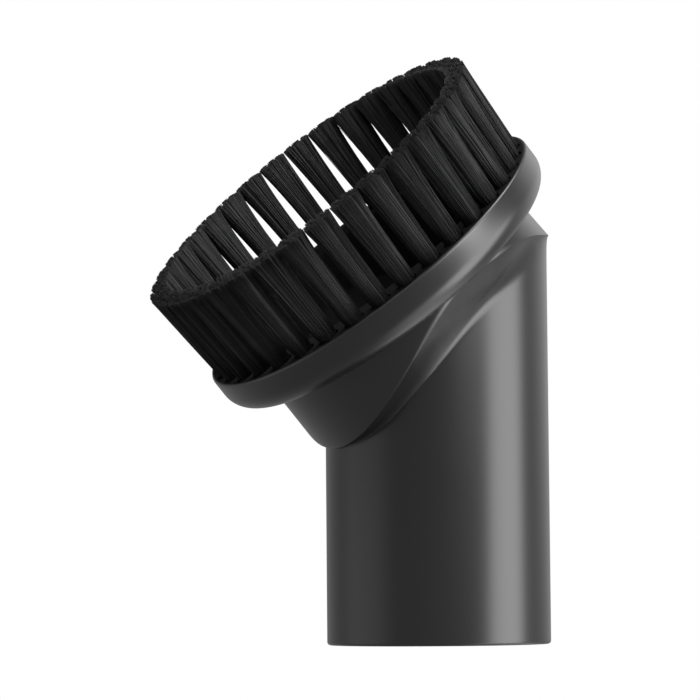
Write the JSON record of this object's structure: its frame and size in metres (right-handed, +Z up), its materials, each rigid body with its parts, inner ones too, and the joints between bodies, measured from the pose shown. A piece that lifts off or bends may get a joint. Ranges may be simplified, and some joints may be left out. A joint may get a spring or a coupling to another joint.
{
  "type": "vacuum brush head",
  "caption": "Round dusting brush head with an angled slip-over socket and a ring of black bristle tufts around an open suction mouth.",
  "frame": {"origin": "on the floor plane that the socket's open end stands on, under the middle of the object's box; the socket's own axis is the vertical line x = 0.0160, y = 0", "axes": "+Z up along the socket's axis towards the head, +X towards the head's uphill side (its bristles point up and towards -X), +Y to the left when looking along +X"},
  "size_m": [0.072, 0.0698, 0.1054],
  "materials": {
    "housing_plastic": "satin moulded black, roughness about 0.38",
    "bristle": "black synthetic bristle, roughness about 0.45"
  },
  "bodies": {
    "root": {"housing": "housing_plastic", "tuft_01": "bristle", "tuft_02": "bristle", "tuft_03": "bristle", "tuft_04": "bristle", "tuft_05": "bristle", "tuft_06": "bristle", "tuft_07": "bristle", "tuft_08": "bristle", "tuft_09": "bristle", "tuft_10": "bristle", "tuft_11": "bristle", "tuft_12": "bristle", "tuft_13": "bristle", "tuft_14": "bristle", "tuft_15": "bristle", "tuft_16": "bristle", "tuft_17": "bristle", "tuft_18": "bristle", "tuft_19": "bristle", "tuft_20": "bristle", "tuft_21": "bristle", "tuft_22": "bristle", "tuft_23": "bristle", "tuft_24": "bristle", "tuft_25": "bristle", "tuft_26": "bristle", "tuft_27": "bristle", "tuft_28": "bristle", "tuft_29": "bristle", "tuft_30": "bristle", "tuft_31": "bristle", "tuft_32": "bristle", "tuft_33": "bristle", "tuft_34": "bristle", "tuft_35": "bristle", "tuft_36": "bristle"}
  },
  "joints": []
}
